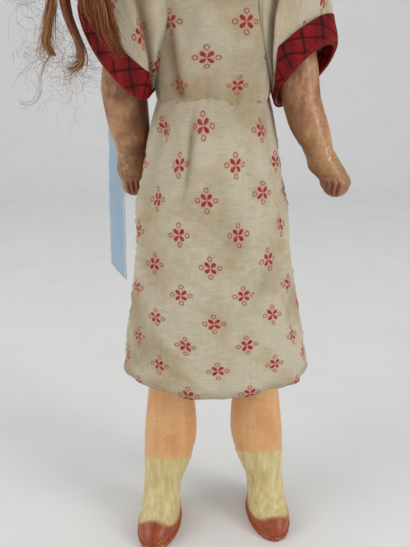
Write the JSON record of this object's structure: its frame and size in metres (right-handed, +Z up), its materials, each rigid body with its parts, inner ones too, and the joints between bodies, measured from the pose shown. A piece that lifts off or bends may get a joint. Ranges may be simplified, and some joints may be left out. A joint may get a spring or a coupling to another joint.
{
  "type": "strung play doll",
  "caption": "Strung play doll with a pressed-cardboard head, straight composition limbs on elastic, long hair with a ribbon and a printed cotton dress with tartan cuffs.",
  "frame": {"origin": "on the floor, midway between the soles and under the neck", "axes": "+Z up, face towards -Y, the doll's left towards +X"},
  "size_m": [0.1571, 0.0928, 0.4332],
  "materials": {
    "painted_cardboard": "painted flesh, satin, worn",
    "cardboard": "pressed, matt",
    "eye_glass": "glossy",
    "hair": "fine auburn strands",
    "satin": "satin weave, soft sheen",
    "turned_wood": "turned, bare",
    "wire": "drawn wire",
    "elastic": "braided cover",
    "composition_arm": "painted wood-pulp composition, worn",
    "composition_leg": "painted wood-pulp composition, streaked",
    "printed_cotton": "slubby plain weave with a printed flower",
    "tartan": "woven tartan",
    "button": "moulded, satin"
  },
  "bodies": {
    "torso": {"torso_front": "cardboard", "torso_back": "cardboard", "neck_hook": "wire", "arm_elastic": "elastic", "leg_elastic": "elastic", "dress_bodice": "printed_cotton", "left_sleeve": "printed_cotton", "right_sleeve": "printed_cotton", "left_cuff": "tartan", "right_cuff": "tartan", "neck_binding": "printed_cotton", "back_buttons": "button"},
    "head": {"head_shell": "painted_cardboard", "crown_pate": "cardboard", "left_eye": "eye_glass", "right_eye": "eye_glass", "wig_cap": "hair", "back_hair": "hair", "right_hair": "hair", "left_hair": "hair", "hair_bow": "satin", "ribbon_tail": "satin", "back_ribbon_tail": "satin", "neck_button": "turned_wood"},
    "left_arm": {"left_arm": "composition_arm", "left_arm_hook": "wire"},
    "right_arm": {"right_arm": "composition_arm", "right_arm_hook": "wire"},
    "lap": {"dress_skirt": "printed_cotton"},
    "left_leg": {"left_leg": "composition_leg", "left_leg_hook": "wire"},
    "right_leg": {"right_leg": "composition_leg", "right_leg_hook": "wire"}
  },
  "joints": [
    {"name": "head_turn", "type": "hinge", "parent": "torso", "child": "head", "pos_m": [0, 0, 0.332], "axis": [0, 0, 1], "range_deg": [-75, 75], "deforming": ["back_hair", "right_hair", "left_hair", "ribbon_tail", "back_ribbon_tail"]},
    {"name": "left_shoulder", "type": "hinge", "parent": "torso", "child": "left_arm", "pos_m": [0, 0, 0.312], "axis": [-1, 0, 0], "range_deg": [-30, 100], "deforming": ["left_sleeve", "left_cuff", "arm_elastic"]},
    {"name": "right_shoulder", "type": "hinge", "parent": "torso", "child": "right_arm", "pos_m": [0, 0, 0.312], "axis": [-1, 0, 0], "range_deg": [-12, 100], "deforming": ["right_sleeve", "right_cuff"]},
    {"name": "sit", "type": "hinge", "parent": "torso", "child": "lap", "pos_m": [0, 0, 0.196], "axis": [-1, 0, 0], "range_deg": [0, 80], "deforming": ["dress_skirt", "leg_elastic"]},
    {"name": "left_hip", "type": "hinge", "parent": "lap", "child": "left_leg", "pos_m": [0, 0, 0.196], "axis": [-1, 0, 0], "range_deg": [-10, 10]},
    {"name": "right_hip", "type": "hinge", "parent": "lap", "child": "right_leg", "pos_m": [0, 0, 0.196], "axis": [-1, 0, 0], "range_deg": [-10, 10]}
  ]
}
